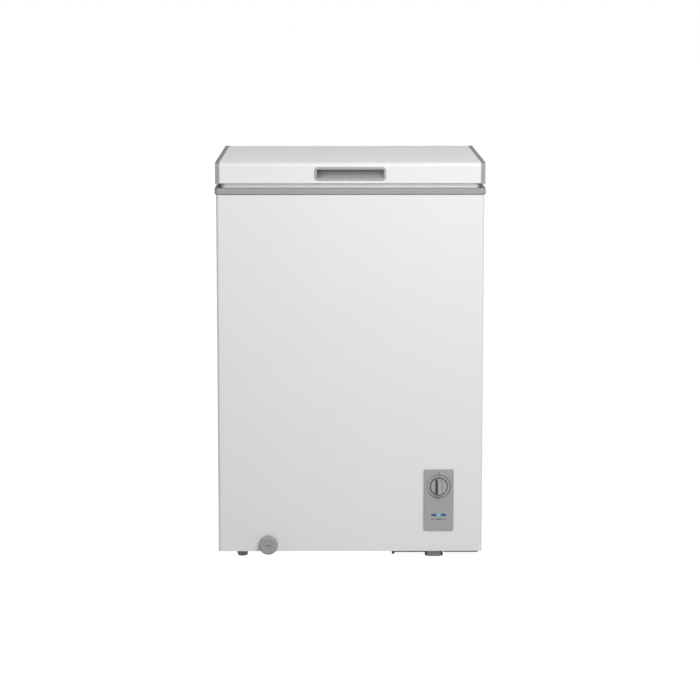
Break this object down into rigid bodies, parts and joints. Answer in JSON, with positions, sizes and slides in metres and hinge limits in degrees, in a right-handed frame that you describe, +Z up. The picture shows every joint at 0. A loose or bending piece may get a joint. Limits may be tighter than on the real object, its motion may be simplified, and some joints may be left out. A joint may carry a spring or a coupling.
{
  "type": "chest freezer",
  "caption": "Compact white chest freezer with a hinged lid, a hanging basket, a front temperature knob and a pull-out drain spout.",
  "frame": {"origin": "centre of the bounding box at floor level, under the feet", "axes": "+X to the right as seen from the front, -Y towards the front, +Z up"},
  "size_m": [0.569, 0.567, 0.85],
  "materials": {
    "white_enamel": "white baked enamel with a faint orange peel",
    "grey_steel": "grey primer-coated sheet steel",
    "zinc_steel": "zinc-plated sheet steel",
    "stucco_aluminium": "embossed aluminium",
    "bare_aluminium": "drawn tube",
    "copper_tube": "drawn copper",
    "grey_plastic": "fine moulded texture",
    "dark_plastic": "moulded",
    "handle_plastic": "satin moulded",
    "white_plastic": "vacuum-formed sheet",
    "seal_vinyl": "soft vinyl",
    "magnet": "flexible magnet",
    "black_rubber": "moulded",
    "grey_rubber": "moulded",
    "black_enamel": "black paint on steel",
    "rigid_foam": "rigid insulating foam",
    "indicator_glass": "clear tinted strip",
    "circuit_board": "printed board",
    "white_wire": "dipped plastic over steel wire",
    "spring_steel": "oiled spring steel"
  },
  "bodies": {
    "cabinet": {"back_panel": "grey_steel", "base_plate": "black_enamel", "base_screws": "zinc_steel", "bay_liner": "zinc_steel", "bottom_panel": "zinc_steel", "cabinet_foam": "rigid_foam", "cabinet_shell": "white_enamel", "capillary_tube": "copper_tube", "compressor_bolts": "zinc_steel", "compressor_grommets": "black_rubber", "compressor_lower_shell": "black_enamel", "compressor_motor": "spring_steel", "compressor_upper_shell": "black_enamel", "condenser_coil": "zinc_steel", "control_box": "dark_plastic", "control_panel": "grey_plastic", "cord_grommet": "black_rubber", "discharge_tube": "copper_tube", "drain_hose": "white_plastic", "evaporator_coil": "bare_aluminium", "filter_drier": "copper_tube", "front_left_foot": "grey_rubber", "front_right_foot": "grey_rubber", "hinge_pins": "spring_steel", "hinge_screws": "zinc_steel", "indicator_board": "circuit_board", "indicator_lens": "indicator_glass", "inner_liner": "stucco_aluminium", "left_hinge_base": "zinc_steel", "left_hinge_spring": "spring_steel", "rear_cover": "grey_steel", "rear_left_foot": "grey_rubber", "rear_right_foot": "grey_rubber", "right_hinge_base": "zinc_steel", "right_hinge_spring": "spring_steel", "side_grille": "grey_plastic", "start_relay_box": "dark_plastic", "suction_tube": "copper_tube", "thermostat_body": "zinc_steel", "top_collar": "grey_plastic"},
    "lid": {"lid_shell": "white_enamel", "lid_foam": "rigid_foam", "lid_liner": "white_plastic", "left_lid_end_cap": "grey_plastic", "right_lid_end_cap": "grey_plastic", "lid_gasket": "seal_vinyl", "gasket_magnets": "magnet", "handle_recess": "handle_plastic", "left_hinge_leaf": "zinc_steel", "right_hinge_leaf": "zinc_steel", "lid_screws": "zinc_steel"},
    "left_plunger": {"left_hinge_plunger": "dark_plastic"},
    "right_plunger": {"right_hinge_plunger": "dark_plastic"},
    "knob": {"thermostat_knob": "grey_plastic", "thermostat_shaft": "zinc_steel"},
    "drain_spout": {"drain_stem": "white_plastic"},
    "drain_cap": {"drain_dial": "grey_plastic"},
    "floor_plug": {"drain_plug": "grey_rubber"},
    "basket": {"wire_basket": "white_wire"}
  },
  "joints": [
    {"name": "lid_hinge", "type": "hinge", "parent": "cabinet", "child": "lid", "pos_m": [0, 0.275, 0.788], "axis": [-1, 0, 0], "range_deg": [0, 85]},
    {"name": "left_plunger_slide", "type": "slide", "parent": "cabinet", "child": "left_plunger", "axis": [0, 0, 1], "range_m": [0, 0.0063], "deforming": ["left_hinge_spring"]},
    {"name": "right_plunger_slide", "type": "slide", "parent": "cabinet", "child": "right_plunger", "axis": [0, 0, 1], "range_m": [0, 0.0063], "deforming": ["right_hinge_spring"]},
    {"name": "thermostat_turn", "type": "hinge", "parent": "cabinet", "child": "knob", "pos_m": [0.1888, -0.263, 0.15835], "axis": [0, 1, 0], "range_deg": [-135, 135]},
    {"name": "drain_pull", "type": "slide", "parent": "cabinet", "child": "drain_spout", "axis": [0, -1, 0], "range_m": [0, 0.025]},
    {"name": "drain_turn", "type": "hinge", "parent": "drain_spout", "child": "drain_cap", "pos_m": [-0.1748, -0.2629, 0.032], "axis": [0, -1, 0], "range_deg": [0, 180]},
    {"name": "floor_plug_lift", "type": "slide", "parent": "cabinet", "child": "floor_plug", "axis": [0, 0, 1], "range_m": [0, 0.05]},
    {"name": "basket_slide", "type": "slide", "parent": "cabinet", "child": "basket", "axis": [-1, 0, 0], "range_m": [0, 0.229]}
  ],
  "couplings": [
    {"joint": "left_plunger_slide", "follows": "lid_hinge", "m_per_rad": 0.0042},
    {"joint": "right_plunger_slide", "follows": "lid_hinge", "m_per_rad": 0.0042}
  ]
}
